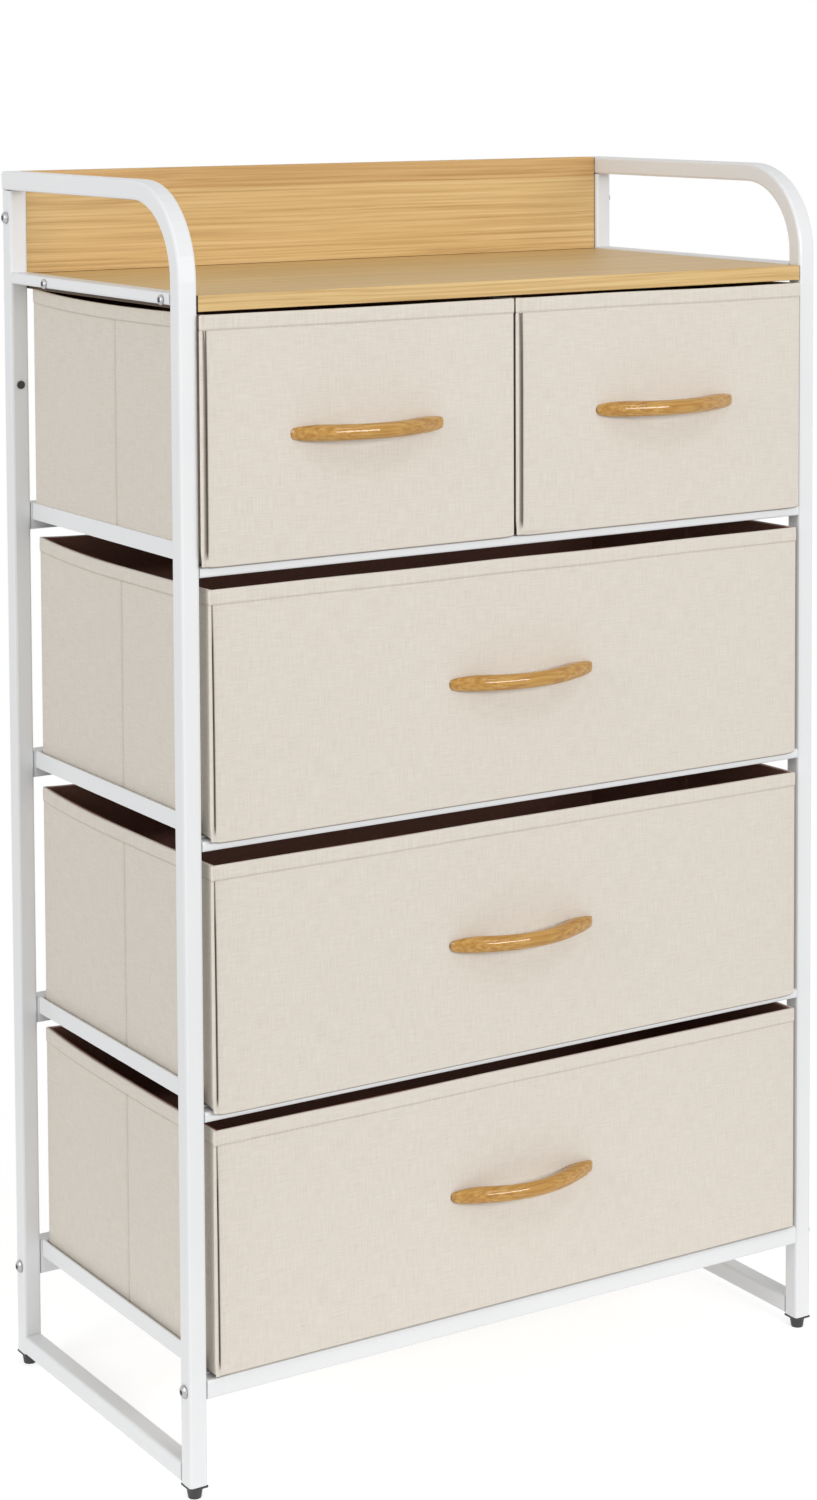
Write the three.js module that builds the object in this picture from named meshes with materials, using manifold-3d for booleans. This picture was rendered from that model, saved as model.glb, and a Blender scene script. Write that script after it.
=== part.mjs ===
// Fabric drawer dresser: a welded square tube frame, a wooden top board with a
// back panel, and five fabric bins that slide in and out as drawers.
// Millimetres, +Z up, the front faces -Y. The origin is at the middle of the
// bounding box, on the floor.
import * as THREE from 'three';
import { mergeVertices } from 'three/addons/utils/BufferGeometryUtils.js';
import Module from 'manifold-3d';

const wasm = await Module();
wasm.setup();

// Overall frame
const frameWidth = 590;
const frameDepth = 300;
const frameHeight = 978;
const tubeSize = 15;
const tubeWall = 1.2;
const tubeCorner = 2;
const bendRadius = 72;
const seatGap = 0.3;
const cutOverrun = 5;

// The board rails lie this far below the frame's top
const galleryHeight = 89.5;
const boardRailHeight = 9;

// The four rows stand on cross rails. The bottom ones are heavy, and the top row is
// lower than the others by topRowCut.
const bottomRailBottom = 74.5;
const lightRailHeight = 8;
const frontRailDepth = 26;
const topRowCut = 11.5;
const endPlate = 3;
const drainRadius = 2;

// Steel angles that carry the bins along both sides and keep them from slipping off
const angleInset = 1.6;
const angleHeight = 13.3;
const angleShelf = 14;
const angleThickness = 1.5;
const angleSetback = 10;

// Wooden boards
const boardDrop = 4.5;
const boardThickness = 12;
const panelThickness = 12;

// Feet
const footHeight = 10;
const footFlange = 1.5;
const footTopRadius = 6.5;
const footBottomRadius = 5;
const footPlugLength = 18;

// Screws, bolts and plugs
const boltRadius = 3;
const boltHeadRadius = 5;
const boltHeadHeight = 2.8;
const boltLength = 26;
const boltSocketRadius = 2.2;
const boltSocketDepth = 1.6;
const panelBoltDrop = 37;
const screwRadius = 2;
const screwHeadRadius = 4;
const screwHeadHeight = 2;
const screwLength = 30;
const screwTipGap = 5;
const screwRise = 2;
const frontScrewSetback = 27;
const rearScrewSetback = 77;
const plugRadius = 2.2;
const plugHeadRadius = 3.4;
const plugHeadHeight = 0.6;
const plugLength = 3;
const plugDrop = 81.5;

// Fabric bins. A skirt of the front wall hangs down in front of the rail, and each row
// has its own gap below the rail above it.
const binProud = 4;
const binSideGap = 6.5;
const binMiddleGap = 1;
const binRearGap = 2;
const binWall = 4;
const binFloor = 3;
const topBinTopGap = 2;
const upperBinTopGap = 8.5;
const middleBinTopGap = 10;
const lowerBinTopGap = 6;
const topBinSkirt = 3;
const upperBinSkirt = 4.5;
const middleBinSkirt = 5.5;
const baseBoardThickness = 2.5;
const baseBoardGap = 1;

// Wooden handles
const handleLength = 133;
const handleHeight = 13;
const handleReach = 25;
const handleBar = 10;
const handleFoot = 24;
const handleRound = 3;
const handleScrewRadius = 2;
const handleScrewSpacing = 110;
const handleRise = 1.5;
const handleScrewHead = 4.5;
const handleScrewHeadHeight = 1.8;

// Round pieces
const roundSides = 12;

const steelWhite = { color: 0xeeeeee, roughness: 0.35, metalness: 0.1 };
const oak = { color: 0xd9b67d, roughness: 0.5, metalness: 0 };
const varnishedWood = { color: 0xd09a4e, roughness: 0.25, metalness: 0 };
const linen = { color: 0xd9cfc1, roughness: 0.9, metalness: 0 };
const darkLining = { color: 0x3a261e, roughness: 0.9, metalness: 0 };
const blackPlastic = { color: 0x2a2a2c, roughness: 0.5, metalness: 0 };
const chromed = { color: 0xc4c6c8, roughness: 0.2, metalness: 1 };

const dresser = new THREE.Group();

function add(name, geometry, finish) {
  const mesh = new THREE.Mesh(geometry, new THREE.MeshStandardMaterial(finish));
  mesh.name = name;
  dresser.add(mesh);
}

// A closed three.js geometry as a solid that can be joined and cut.
function solid(geometry) {
  const plain = geometry.clone();
  plain.deleteAttribute('normal');
  plain.deleteAttribute('uv');
  const merged = mergeVertices(plain);
  const vertProperties = new Float32Array(merged.attributes.position.array);
  const triVerts = new Uint32Array(merged.index.array);
  return new wasm.Manifold(new wasm.Mesh({ numProp: 3, vertProperties, triVerts }));
}

function geometryOf(manifold) {
  const mesh = manifold.getMesh();
  const geometry = new THREE.BufferGeometry();
  geometry.setAttribute('position', new THREE.BufferAttribute(new Float32Array(mesh.vertProperties), 3));
  geometry.setIndex(new THREE.BufferAttribute(new Uint32Array(mesh.triVerts), 1));
  geometry.computeVertexNormals();
  return geometry;
}

function cut(geometry, cutters) {
  let body = solid(geometry);
  for (const cutter of cutters) body = body.subtract(solid(cutter));
  return geometryOf(body);
}

function join(geometries) {
  let body = solid(geometries[0]);
  for (const geometry of geometries.slice(1)) body = body.add(solid(geometry));
  return geometryOf(body);
}

// A box between two corners.
function boxBetween(low, high) {
  const size = high.map((value, i) => value - low[i]);
  const geometry = new THREE.BoxGeometry(...size);
  geometry.translate(low[0] + size[0] / 2, low[1] + size[1] / 2, low[2] + size[2] / 2);
  return geometry;
}

// A round bar along X that starts at x and runs inwards or outwards by length.
function barAlongX(radius, x, y, z, length) {
  const geometry = new THREE.CylinderGeometry(radius, radius, Math.abs(length), roundSides);
  geometry.rotateZ(Math.PI / 2);
  geometry.translate(x + length / 2, y, z);
  return geometry;
}

function barAlongY(radius, x, y, z, length) {
  const geometry = new THREE.CylinderGeometry(radius, radius, Math.abs(length), roundSides);
  geometry.translate(x, y + length / 2, z);
  return geometry;
}

// The section of a rectangular tube with rounded outer corners, centred on zero.
const cornerSteps = 2;
function tubeSection(width, height) {
  const w = width / 2;
  const h = height / 2;
  const outline = [];
  [[1, -1], [1, 1], [-1, 1], [-1, -1]].forEach(([sx, sy], corner) => {
    for (let i = 0; i <= cornerSteps; i += 1) {
      const angle = (corner - 1 + i / cornerSteps) * (Math.PI / 2);
      outline.push(new THREE.Vector2(
        sx * (w - tubeCorner) + tubeCorner * Math.cos(angle),
        sy * (h - tubeCorner) + tubeCorner * Math.sin(angle),
      ));
    }
  });
  const shape = new THREE.Shape(outline);
  const holeW = w - tubeWall;
  const holeH = h - tubeWall;
  shape.holes.push(new THREE.Path([
    new THREE.Vector2(holeW, holeH),
    new THREE.Vector2(holeW, -holeH),
    new THREE.Vector2(-holeW, -holeH),
    new THREE.Vector2(-holeW, holeH),
  ]));
  return shape;
}

// Straight tubes: along Z, along Y and along X, with x, y, z at the low end of the axis.
function tubeAlongZ(x, y, z, length) {
  const section = tubeSection(tubeSize, tubeSize);
  const geometry = new THREE.ExtrudeGeometry(section, { depth: length, bevelEnabled: false });
  geometry.translate(x, y, z);
  return geometry;
}

function tubeAlongY(width, height, x, y, z, length) {
  const geometry = new THREE.ExtrudeGeometry(tubeSection(width, height), {
    depth: length, bevelEnabled: false,
  });
  geometry.rotateX(-Math.PI / 2);
  geometry.translate(x, y, z);
  return geometry;
}

function tubeAlongX(depth, height, x, y, z, length) {
  const geometry = new THREE.ExtrudeGeometry(tubeSection(height, depth), {
    depth: length, bevelEnabled: false,
  });
  geometry.rotateY(Math.PI / 2);
  geometry.translate(x, y, z);
  return geometry;
}

// The centre line of a front post: straight up, a quarter turn to the rear, then level.
// Its points are the ends of the two straight runs and even steps round the bend.
class BentPostLine extends THREE.Curve {
  constructor(x, frontY, bottomZ, topZ, rearY, radius, bendSteps) {
    super();
    const centreY = frontY + radius;
    const centreZ = topZ - radius;
    this.points = [new THREE.Vector3(x, frontY, bottomZ)];
    this.tangents = [new THREE.Vector3(0, 0, 1)];
    for (let i = 0; i <= bendSteps; i += 1) {
      const angle = (i / bendSteps) * (Math.PI / 2);
      const y = centreY - radius * Math.cos(angle);
      const z = centreZ + radius * Math.sin(angle);
      this.points.push(new THREE.Vector3(x, y, z));
      this.tangents.push(new THREE.Vector3(0, Math.sin(angle), Math.cos(angle)));
    }
    this.points.push(new THREE.Vector3(x, rearY, topZ));
    this.tangents.push(new THREE.Vector3(0, 1, 0));
  }

  getPoint(share, target = new THREE.Vector3()) {
    return target.copy(this.points[Math.round(share * (this.points.length - 1))]);
  }

  getPointAt(share, target) {
    return this.getPoint(share, target);
  }

  getTangentAt(share, target = new THREE.Vector3()) {
    return target.copy(this.tangents[Math.round(share * (this.tangents.length - 1))]);
  }
}

const halfWidth = frameWidth / 2;
const halfDepth = frameDepth / 2;
const halfTube = tubeSize / 2;
const postX = halfWidth - halfTube;
const postY = halfDepth - halfTube;
const innerX = halfWidth - tubeSize;
const innerY = halfDepth - tubeSize;
const boardRailBottom = frameHeight - galleryHeight;
const boardUnderside = boardRailBottom - boardDrop;
const boardTop = boardUnderside + boardThickness;
const screwHeight = boardUnderside + boardThickness / 2 + screwRise;
const screwPlaces = [frontScrewSetback - halfDepth, halfDepth - rearScrewSetback];
const panelBoltHeight = frameHeight - panelBoltDrop;
const plugPlace = boardRailBottom - plugDrop;
const bottomRailTop = bottomRailBottom + tubeSize;
const bottomRailCentre = bottomRailBottom + tubeSize / 2;
const levelPitch = (boardRailBottom + topRowCut - bottomRailTop) / 4;
const railTops = [3, 2, 1, 0].map((level) => bottomRailTop + level * levelPitch);
const railHeights = [lightRailHeight, lightRailHeight, lightRailHeight, tubeSize];
const sideNames = [['left', -1], ['right', 1]];
const endNames = [['front', -1], ['rear', 1]];

// Side frames: bent front post, rear post, floor tube and board rail on each side
const bendSteps = 12;
const betweenPosts = 2 * (innerY - seatGap);
for (const [side, sx] of sideNames) {
  const outerX = sx * halfWidth;
  const line = new BentPostLine(sx * postX, -postY, footHeight, frameHeight - halfTube,
    halfDepth, bendRadius - halfTube, bendSteps);
  const bentTube = new THREE.ExtrudeGeometry(tubeSection(tubeSize, tubeSize), {
    steps: line.points.length - 1, extrudePath: line,
  });
  const endWall = boxBetween(
    [sx * postX - halfTube + tubeWall / 2, halfDepth - tubeWall, frameHeight - tubeSize + tubeWall / 2],
    [sx * postX + halfTube - tubeWall / 2, halfDepth, frameHeight - tubeWall / 2],
  );
  const boltHole = (y, z) => barAlongX(boltRadius + seatGap, outerX + sx * cutOverrun, y, z,
    -sx * (tubeSize + 2 * cutOverrun));
  add(`${side}_bent_post`, cut(join([bentTube, endWall]), [boltHole(-postY, bottomRailCentre)]), steelWhite);

  const rearPost = tubeAlongZ(sx * postX, postY, footHeight, frameHeight - tubeSize - seatGap - footHeight);
  const plugHole = barAlongY(plugRadius + seatGap, sx * postX, innerY - cutOverrun, plugPlace,
    cutOverrun + 2 * tubeWall);
  add(`${side}_rear_post`, cut(rearPost, [boltHole(postY, bottomRailCentre),
    boltHole(postY, panelBoltHeight), plugHole]), steelWhite);

  add(`${side}_floor_tube`, tubeAlongY(tubeSize, tubeSize, sx * postX, seatGap - innerY,
    footHeight + halfTube, betweenPosts), steelWhite);

  const boardRail = tubeAlongY(tubeSize, boardRailHeight, sx * postX, seatGap - innerY,
    boardRailBottom + boardRailHeight / 2, betweenPosts);
  const screwHoles = screwPlaces.map((y) => barAlongX(screwRadius + seatGap, outerX + sx * cutOverrun, y,
    screwHeight, -sx * (tubeSize + 2 * cutOverrun)));
  add(`${side}_board_rail`, cut(boardRail, screwHoles), steelWhite);
}

// A row's cross rails and its two steel angles. The rear rail reaches up to the top of
// the angles, as a stop for the bins. Each rail's ends are plates with a small hole: a
// bolt's thread in the bottom rails, and a drain for the coating bath in the others.
const crossLength = 2 * (innerX - seatGap);
function platedRail(depth, height, y, bottom, holeRadius, holeY, holeZ) {
  const middle = bottom + height / 2;
  const tube = tubeAlongX(depth, height, seatGap - innerX, y, middle, crossLength);
  const plates = sideNames.map(([, sx]) => {
    const plate = new THREE.BoxGeometry(endPlate, depth - tubeWall, height - tubeWall);
    plate.translate(sx * (innerX - seatGap - endPlate / 2), y, middle);
    return plate;
  });
  const holes = sideNames.map(([, sx]) => barAlongX(holeRadius, sx * (innerX + cutOverrun),
    holeY, holeZ, -sx * (endPlate + 2 * cutOverrun)));
  return cut(join([tube, ...plates]), holes);
}

railTops.forEach((railTop, row) => {
  const railBottom = railTop - railHeights[row];
  const angleBottom = railTop + seatGap;
  const angleTop = angleBottom + angleHeight;
  const isBottom = row === railTops.length - 1;
  const holeRadius = isBottom ? boltRadius + seatGap : drainRadius;
  const holeZ = railBottom + railHeights[row] / 2;
  const frontY = frontRailDepth / 2 - halfDepth;
  add(`front_cross_rail_${row + 1}`, platedRail(frontRailDepth, railHeights[row], frontY, railBottom,
    holeRadius, -postY, holeZ), steelWhite);
  add(`rear_cross_rail_${row + 1}`, platedRail(tubeSize, angleTop - railBottom, postY, railBottom,
    holeRadius, postY, holeZ), steelWhite);
  for (const [side, sx] of sideNames) {
    const outerX = innerX - angleInset;
    const wallX = [sx * outerX, sx * (outerX - angleThickness)].sort((p, q) => p - q);
    const shelfX = [sx * outerX, sx * (outerX - angleShelf)].sort((p, q) => p - q);
    const frontEnd = angleSetback - halfDepth;
    const rearEnd = innerY - seatGap;
    add(`${side}_angle_${row + 1}`, join([
      boxBetween([wallX[0], frontEnd, angleBottom], [wallX[1], rearEnd, angleTop]),
      boxBetween([shelfX[0], frontEnd, angleBottom], [shelfX[1], rearEnd, angleBottom + angleThickness]),
    ]), steelWhite);
  }
});

// Top board between the posts, and the back panel that stands on its rear edge
const boardX = innerX - seatGap;
const board = boxBetween([-boardX, -halfDepth, boardUnderside], [boardX, halfDepth, boardTop]);
const boardHoles = [];
const screwGrip = screwLength - tubeSize;
for (const [, sx] of sideNames) {
  for (const y of screwPlaces) {
    boardHoles.push(barAlongX(screwRadius + seatGap, sx * (boardX + cutOverrun), y, screwHeight,
      -sx * (screwGrip + cutOverrun)));
  }
}
add('top_board', cut(board, boardHoles), oak);
const panel = boxBetween([-boardX, halfDepth - panelThickness, boardTop + seatGap],
  [boardX, halfDepth, frameHeight]);
const boltGrip = boltLength - tubeSize;
const panelHoles = sideNames.map(([, sx]) => barAlongX(boltRadius + seatGap, sx * (boardX + cutOverrun),
  postY, panelBoltHeight, -sx * (boltGrip + cutOverrun)));
add('back_panel', cut(panel, panelHoles), oak);

// Feet: a square flange and plug in the post's end, and a tapered round pad below
const plugSize = tubeSize - 2 * (tubeWall + seatGap);
for (const [end, sy] of endNames) {
  for (const [side, sx] of sideNames) {
    const x = sx * postX;
    const y = sy * postY;
    const pad = new THREE.CylinderGeometry(footTopRadius, footBottomRadius,
      footHeight - seatGap - footFlange / 2, roundSides);
    pad.rotateX(Math.PI / 2);
    pad.translate(x, y, (footHeight - seatGap - footFlange / 2) / 2);
    const flange = boxBetween([x - halfTube, y - halfTube, footHeight - seatGap - footFlange],
      [x + halfTube, y + halfTube, footHeight - seatGap]);
    const stem = boxBetween([x - plugSize / 2, y - plugSize / 2, footHeight - seatGap - footFlange / 2],
      [x + plugSize / 2, y + plugSize / 2, footHeight + footPlugLength]);
    add(`foot_${end}_${side}`, join([pad, flange, stem]), blackPlastic);
  }
}

// A button head screw along X: its shank, its domed head and a six-sided socket
function buttonScrew(sx, faceX, y, z, radius, length, headRadius, headHeight) {
  const crown = headRadius * 0.6;
  const profile = [
    new THREE.Vector2(0, -length),
    new THREE.Vector2(radius, -length),
    new THREE.Vector2(radius, 0),
    new THREE.Vector2(headRadius, 0),
    new THREE.Vector2(headRadius, headHeight * 0.35),
    new THREE.Vector2((headRadius + crown) / 2, headHeight * 0.8),
    new THREE.Vector2(crown, headHeight),
    new THREE.Vector2(0, headHeight),
  ];
  const body = new THREE.LatheGeometry(profile, roundSides);
  const socket = new THREE.CylinderGeometry(boltSocketRadius, boltSocketRadius, 2 * boltSocketDepth, 6);
  socket.translate(0, headHeight, 0);
  const screw = cut(body, [socket]);
  screw.rotateZ(-sx * Math.PI / 2);
  screw.translate(sx * (faceX + seatGap), y, z);
  return screw;
}

for (const [side, sx] of sideNames) {
  for (const [end, sy] of endNames) {
    add(`rail_bolt_${end}_${side}`, buttonScrew(sx, halfWidth, sy * postY, bottomRailCentre,
      boltRadius, boltLength, boltHeadRadius, boltHeadHeight), chromed);
  }
  add(`panel_bolt_${side}`, buttonScrew(sx, halfWidth, postY, panelBoltHeight,
    boltRadius, boltLength, boltHeadRadius, boltHeadHeight), chromed);
  screwPlaces.forEach((y, i) => {
    add(`board_screw_${side}_${i + 1}`, buttonScrew(sx, halfWidth, y, screwHeight,
      screwRadius, screwLength - screwTipGap, screwHeadRadius, screwHeadHeight), chromed);
  });
  const plug = new THREE.LatheGeometry([
    new THREE.Vector2(0, -plugHeadHeight),
    new THREE.Vector2(plugHeadRadius, -plugHeadHeight),
    new THREE.Vector2(plugHeadRadius, 0),
    new THREE.Vector2(plugRadius, 0),
    new THREE.Vector2(plugRadius, plugLength),
    new THREE.Vector2(0, plugLength),
  ], roundSides);
  plug.translate(sx * postX, innerY - seatGap, plugPlace);
  add(`hole_plug_${side}`, plug, blackPlastic);
}

// Fabric bins with their base boards and bow handles
const binFront = -halfDepth - binProud;
const binRear = innerY - binRearGap;
const outerBinX = innerX - binSideGap;
const topBinX = innerX - angleInset - angleThickness - seatGap;
const railBottoms = railTops.map((top, row) => top - railHeights[row]);
const onAngle = 2 * seatGap + angleThickness;
const drawers = [
  ['top_left', -topBinX, -binMiddleGap / 2, railTops[0], boardUnderside - topBinTopGap, topBinSkirt],
  ['top_right', binMiddleGap / 2, topBinX, railTops[0], boardUnderside - topBinTopGap, topBinSkirt],
  ['upper', -outerBinX, outerBinX, railTops[1], railBottoms[0] - upperBinTopGap, upperBinSkirt],
  ['middle', -outerBinX, outerBinX, railTops[2], railBottoms[1] - middleBinTopGap, middleBinSkirt],
  ['lower', -outerBinX, outerBinX, railTops[3], railBottoms[2] - lowerBinTopGap, 0],
];

// The bow seen from above: an outer arc from end to end, an inner arc that leaves
// a foot at each end, and a rounded edge above and below.
function bowHandle(x, z) {
  const half = handleLength / 2 - handleRound;
  const reach = handleReach - handleRound;
  const innerHalf = half - handleFoot + handleRound;
  const innerReach = handleReach - handleBar + handleRound;
  const bowSteps = 12;
  const arc = (halfSpan, depth, share) => {
    const radius = (halfSpan * halfSpan + depth * depth) / (2 * depth);
    const spread = Math.asin(halfSpan / radius);
    const angle = spread * share;
    return new THREE.Vector2(radius * Math.sin(angle), radius * Math.cos(angle) - radius + depth);
  };
  const outline = [];
  for (let i = 0; i <= bowSteps; i += 1) {
    const p = arc(half, reach - handleRound, 1 - (2 * i) / bowSteps);
    outline.push(new THREE.Vector2(p.x, p.y + handleRound));
  }
  for (let i = 0; i <= bowSteps; i += 1) {
    const p = arc(innerHalf, innerReach - handleRound, (2 * i) / bowSteps - 1);
    outline.push(new THREE.Vector2(p.x, p.y + handleRound));
  }
  const bow = new THREE.ExtrudeGeometry(new THREE.Shape(outline), {
    depth: handleHeight - 2 * handleRound,
    bevelThickness: handleRound,
    bevelSize: handleRound,
    bevelSegments: 2,
  });
  bow.scale(1, -1, -1);
  bow.translate(x, binFront - seatGap, z + handleHeight / 2 - handleRound);
  const pieces = [bow];
  for (const [, sx] of sideNames) {
    const screwX = x + sx * (handleScrewSpacing / 2);
    const inside = binFront + binWall + seatGap;
    const shankEnd = inside + handleScrewHeadHeight;
    pieces.push(barAlongY(handleScrewRadius, screwX, binFront - handleRound, z, shankEnd - binFront + handleRound));
    pieces.push(barAlongY(handleScrewHead, screwX, inside, z, handleScrewHeadHeight));
  }
  return join(pieces);
}

for (const [name, lowX, highX, railTop, top, skirt] of drawers) {
  const bottom = railTop + onAngle;
  const middleX = (lowX + highX) / 2;
  const handleZ = (bottom - skirt + top) / 2 + handleRise;
  const outside = boxBetween([lowX, binFront, bottom], [highX, binRear, top]);
  const pieces = [outside];
  if (skirt > 0) {
    pieces.push(boxBetween([lowX, binFront, bottom - skirt], [highX, -halfDepth - seatGap, bottom + binFloor]));
  }
  const inside = boxBetween([lowX + binWall, binFront + binWall, bottom + binFloor],
    [highX - binWall, binRear - binWall, top + cutOverrun]);
  const screwHoles = sideNames.map(([, sx]) => barAlongY(handleScrewRadius + seatGap,
    middleX + sx * (handleScrewSpacing / 2), binFront - cutOverrun, handleZ, binWall + 2 * cutOverrun));
  add(`${name}_bin`, cut(join(pieces), [inside, ...screwHoles]), linen);

  const baseBottom = bottom + binFloor + seatGap;
  add(`${name}_base_board`, boxBetween(
    [lowX + binWall + baseBoardGap, binFront + binWall + baseBoardGap, baseBottom],
    [highX - binWall - baseBoardGap, binRear - binWall - baseBoardGap, baseBottom + baseBoardThickness],
  ), darkLining);
  add(`${name}_handle`, bowHandle(middleX, handleZ), varnishedWood);
}

// The handles stand in front of the frame, so the frame moves back to centre the whole
const frontReach = halfDepth + binProud + seatGap + handleReach;
dresser.position.y = (frontReach - halfDepth) / 2;

export default dresser;
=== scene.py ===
"""Fabric drawer dresser: the finish of every piece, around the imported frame. Metres, +Z up, front at -Y."""

import bpy
import numpy as np
from mathutils import Matrix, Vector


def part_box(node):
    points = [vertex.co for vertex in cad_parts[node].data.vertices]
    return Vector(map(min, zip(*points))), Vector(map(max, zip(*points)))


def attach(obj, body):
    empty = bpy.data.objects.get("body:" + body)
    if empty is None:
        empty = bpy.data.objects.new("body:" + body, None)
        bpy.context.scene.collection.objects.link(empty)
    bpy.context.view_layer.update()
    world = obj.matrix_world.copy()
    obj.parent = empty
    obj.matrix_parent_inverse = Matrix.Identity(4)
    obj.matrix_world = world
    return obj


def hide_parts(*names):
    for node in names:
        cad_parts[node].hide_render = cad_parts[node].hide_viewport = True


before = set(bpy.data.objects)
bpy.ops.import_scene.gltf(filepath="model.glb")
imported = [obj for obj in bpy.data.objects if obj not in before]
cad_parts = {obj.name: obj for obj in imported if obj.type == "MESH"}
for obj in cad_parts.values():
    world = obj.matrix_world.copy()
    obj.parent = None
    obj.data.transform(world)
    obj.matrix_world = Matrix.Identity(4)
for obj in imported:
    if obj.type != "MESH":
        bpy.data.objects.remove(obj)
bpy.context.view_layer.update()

# The room: a pale floor and a surround that only the camera, gloss and glass see as white,
# with a narrow key lamp above the front and large soft lamps in front and at the side.
scene = bpy.context.scene
scene.view_settings.view_transform = "Standard"


class Signal:
    """A shader socket in arithmetic: each operator adds one Math node."""

    def __init__(self, shader, socket):
        self.shader = shader
        self.socket = socket

    def math(self, operation, *others):
        values = {0: self}
        for place, other in enumerate(others, start=1):
            values[place] = other
        return self.shader.node("ShaderNodeMath", {"operation": operation}, values)

    def part(self, output):
        """Another output of the node that this signal comes from."""
        return Signal(self.shader, self.socket.node.outputs[output])

    def __add__(self, other):
        return self.math("ADD", other)

    def __sub__(self, other):
        return self.math("SUBTRACT", other)

    def __mul__(self, other):
        return self.math("MULTIPLY", other)

    def __rsub__(self, other):
        return (self * -1.0) + other

    __radd__ = __add__
    __rmul__ = __mul__


class Shader:
    """A material or world node tree, with one method that adds any node."""

    def __init__(self, tree):
        self.tree = tree

    def node(self, kind, settings=None, values=None, out=0):
        made = self.tree.nodes.new(kind)
        for name, value in (settings or {}).items():
            if name == "stops":
                self.ramp(made.color_ramp, value)
            else:
                setattr(made, name, value)
        for name, value in (values or {}).items():
            if isinstance(value, Signal):
                self.tree.links.new(value.socket, made.inputs[name])
            else:
                made.inputs[name].default_value = value
        return Signal(self, made.outputs[out])

    def ramp(self, ramp, stops):
        for _ in stops[2:]:
            ramp.elements.new(0.5)
        for element, (place, colour) in zip(ramp.elements, stops):
            element.position = place
            element.color = (*colour, 1.0)

    def mix(self, factor, first, second, mode="MIX"):
        """Two colours mixed by a factor."""
        first = first if isinstance(first, Signal) else (*first, 1.0)
        second = second if isinstance(second, Signal) else (*second, 1.0)
        settings = {"data_type": "RGBA", "blend_type": mode}
        return self.node("ShaderNodeMix", settings, {0: factor, 6: first, 7: second}, out=2)

    def noise(self, place, scale, detail=3.0, rough=0.5):
        values = {"Vector": place, "Scale": scale, "Detail": detail, "Roughness": rough}
        return self.node("ShaderNodeTexNoise", None, values)

    def stretched(self, place, scale):
        """Coordinates scaled apart along the three axes."""
        return self.node("ShaderNodeMapping", None, {"Vector": place, "Scale": scale})

    def window(self, value, low, high):
        """0 below low, 1 above high, and a straight slope between."""
        return self.node("ShaderNodeMapRange", {"clamp": True}, {0: value, 1: low, 2: high, 3: 0.0, 4: 1.0})

    def bump(self, height, distance, strength):
        values = {"Height": height, "Distance": distance, "Strength": strength}
        return self.node("ShaderNodeBump", None, values)

    def seen_white(self):
        """1 for the rays that show the white room: from the camera, off gloss and through glass."""
        rays = self.node("ShaderNodeLightPath", out="Is Camera Ray")
        seen = rays
        for kind in ("Is Glossy Ray", "Is Transmission Ray"):
            seen = seen.math("MAXIMUM", rays.part(kind))
        return seen


def new_material(name, **constants):
    """A material with one Principled shader; constants set its sockets that are the same all over."""
    material = bpy.data.materials.new(name)
    material.use_nodes = True
    principled = material.node_tree.nodes["Principled BSDF"]
    for socket, value in constants.items():
        principled.inputs[socket.replace("_", " ")].default_value = value
    return material, Shader(material.node_tree), principled


def feed(shader, principled, **signals):
    """Links each signal to the socket that its name gives."""
    for socket, signal in signals.items():
        shader.tree.links.new(signal.socket, principled.inputs[socket.replace("_", " ")])


def object_place(shader):
    """A point of the piece in metres."""
    return shader.node("ShaderNodeTexCoord", out="Object")


def uv_place(shader):
    """A point of the cloth in metres along the wall and up it."""
    return shader.node("ShaderNodeTexCoord", out="UV")


def shade_mark(shader):
    """The share of shade stored on the mesh: 1 deep in a seam or stitch line, 0 on open cloth."""
    return shader.node("ShaderNodeAttribute", {"attribute_name": "shade"}, out="Fac")


crease_angle = np.radians(38.0)


def new_piece(name, points, faces, material, uv=None, shade=None, smooth=True):
    """A mesh object at the origin from arrays of points and faces.

    Each point may carry a UV, its place on the cloth, and a share of shade."""
    mesh = bpy.data.meshes.new(name)
    mesh.from_pydata(np.asarray(points).tolist(), [], faces)
    if uv is not None:
        corner = np.empty(len(mesh.loops), dtype=np.int32)
        mesh.loops.foreach_get("vertex_index", corner)
        layer = mesh.uv_layers.new(name="cloth")
        layer.data.foreach_set("uv", np.asarray(uv, dtype=np.float32)[corner].ravel())
    if shade is not None:
        marks = mesh.attributes.new("shade", "FLOAT", "POINT")
        marks.data.foreach_set("value", np.asarray(shade, dtype=np.float32))
    if smooth:
        mesh.shade_smooth()
        mesh.set_sharp_from_angle(angle=crease_angle)
    mesh.materials.append(material)
    piece = bpy.data.objects.new(name, mesh)
    scene.collection.objects.link(piece)
    return piece


floor_half = 1.0
floor_fade_start = 0.40
floor_fade_end = 0.90
floor_glow = (0.42, 0.42, 0.42)
floor_seen_glow = (0.66, 0.66, 0.66)
floor_material, floor_shader, floor_skin = new_material(
    "floor", Roughness=0.9, Specular_IOR_Level=0.0, Base_Color=(0.55, 0.55, 0.55, 1.0),
    Emission_Strength=1.0)
floor_place = object_place(floor_shader)
floor_reach = floor_shader.node(
    "ShaderNodeVectorMath", {"operation": "LENGTH"}, {0: floor_place}, out="Value")
feed(floor_shader, floor_skin,
     Alpha=1.0 - floor_shader.window(floor_reach, floor_fade_start, floor_fade_end),
     Emission_Color=floor_shader.mix(floor_shader.seen_white(), floor_glow, floor_seen_glow))
floor_piece = new_piece(
    "floor",
    [(-floor_half, -floor_half, 0.0), (floor_half, -floor_half, 0.0),
     (floor_half, floor_half, 0.0), (-floor_half, floor_half, 0.0)],
    [(0, 1, 2, 3)], floor_material, smooth=False)

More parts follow.
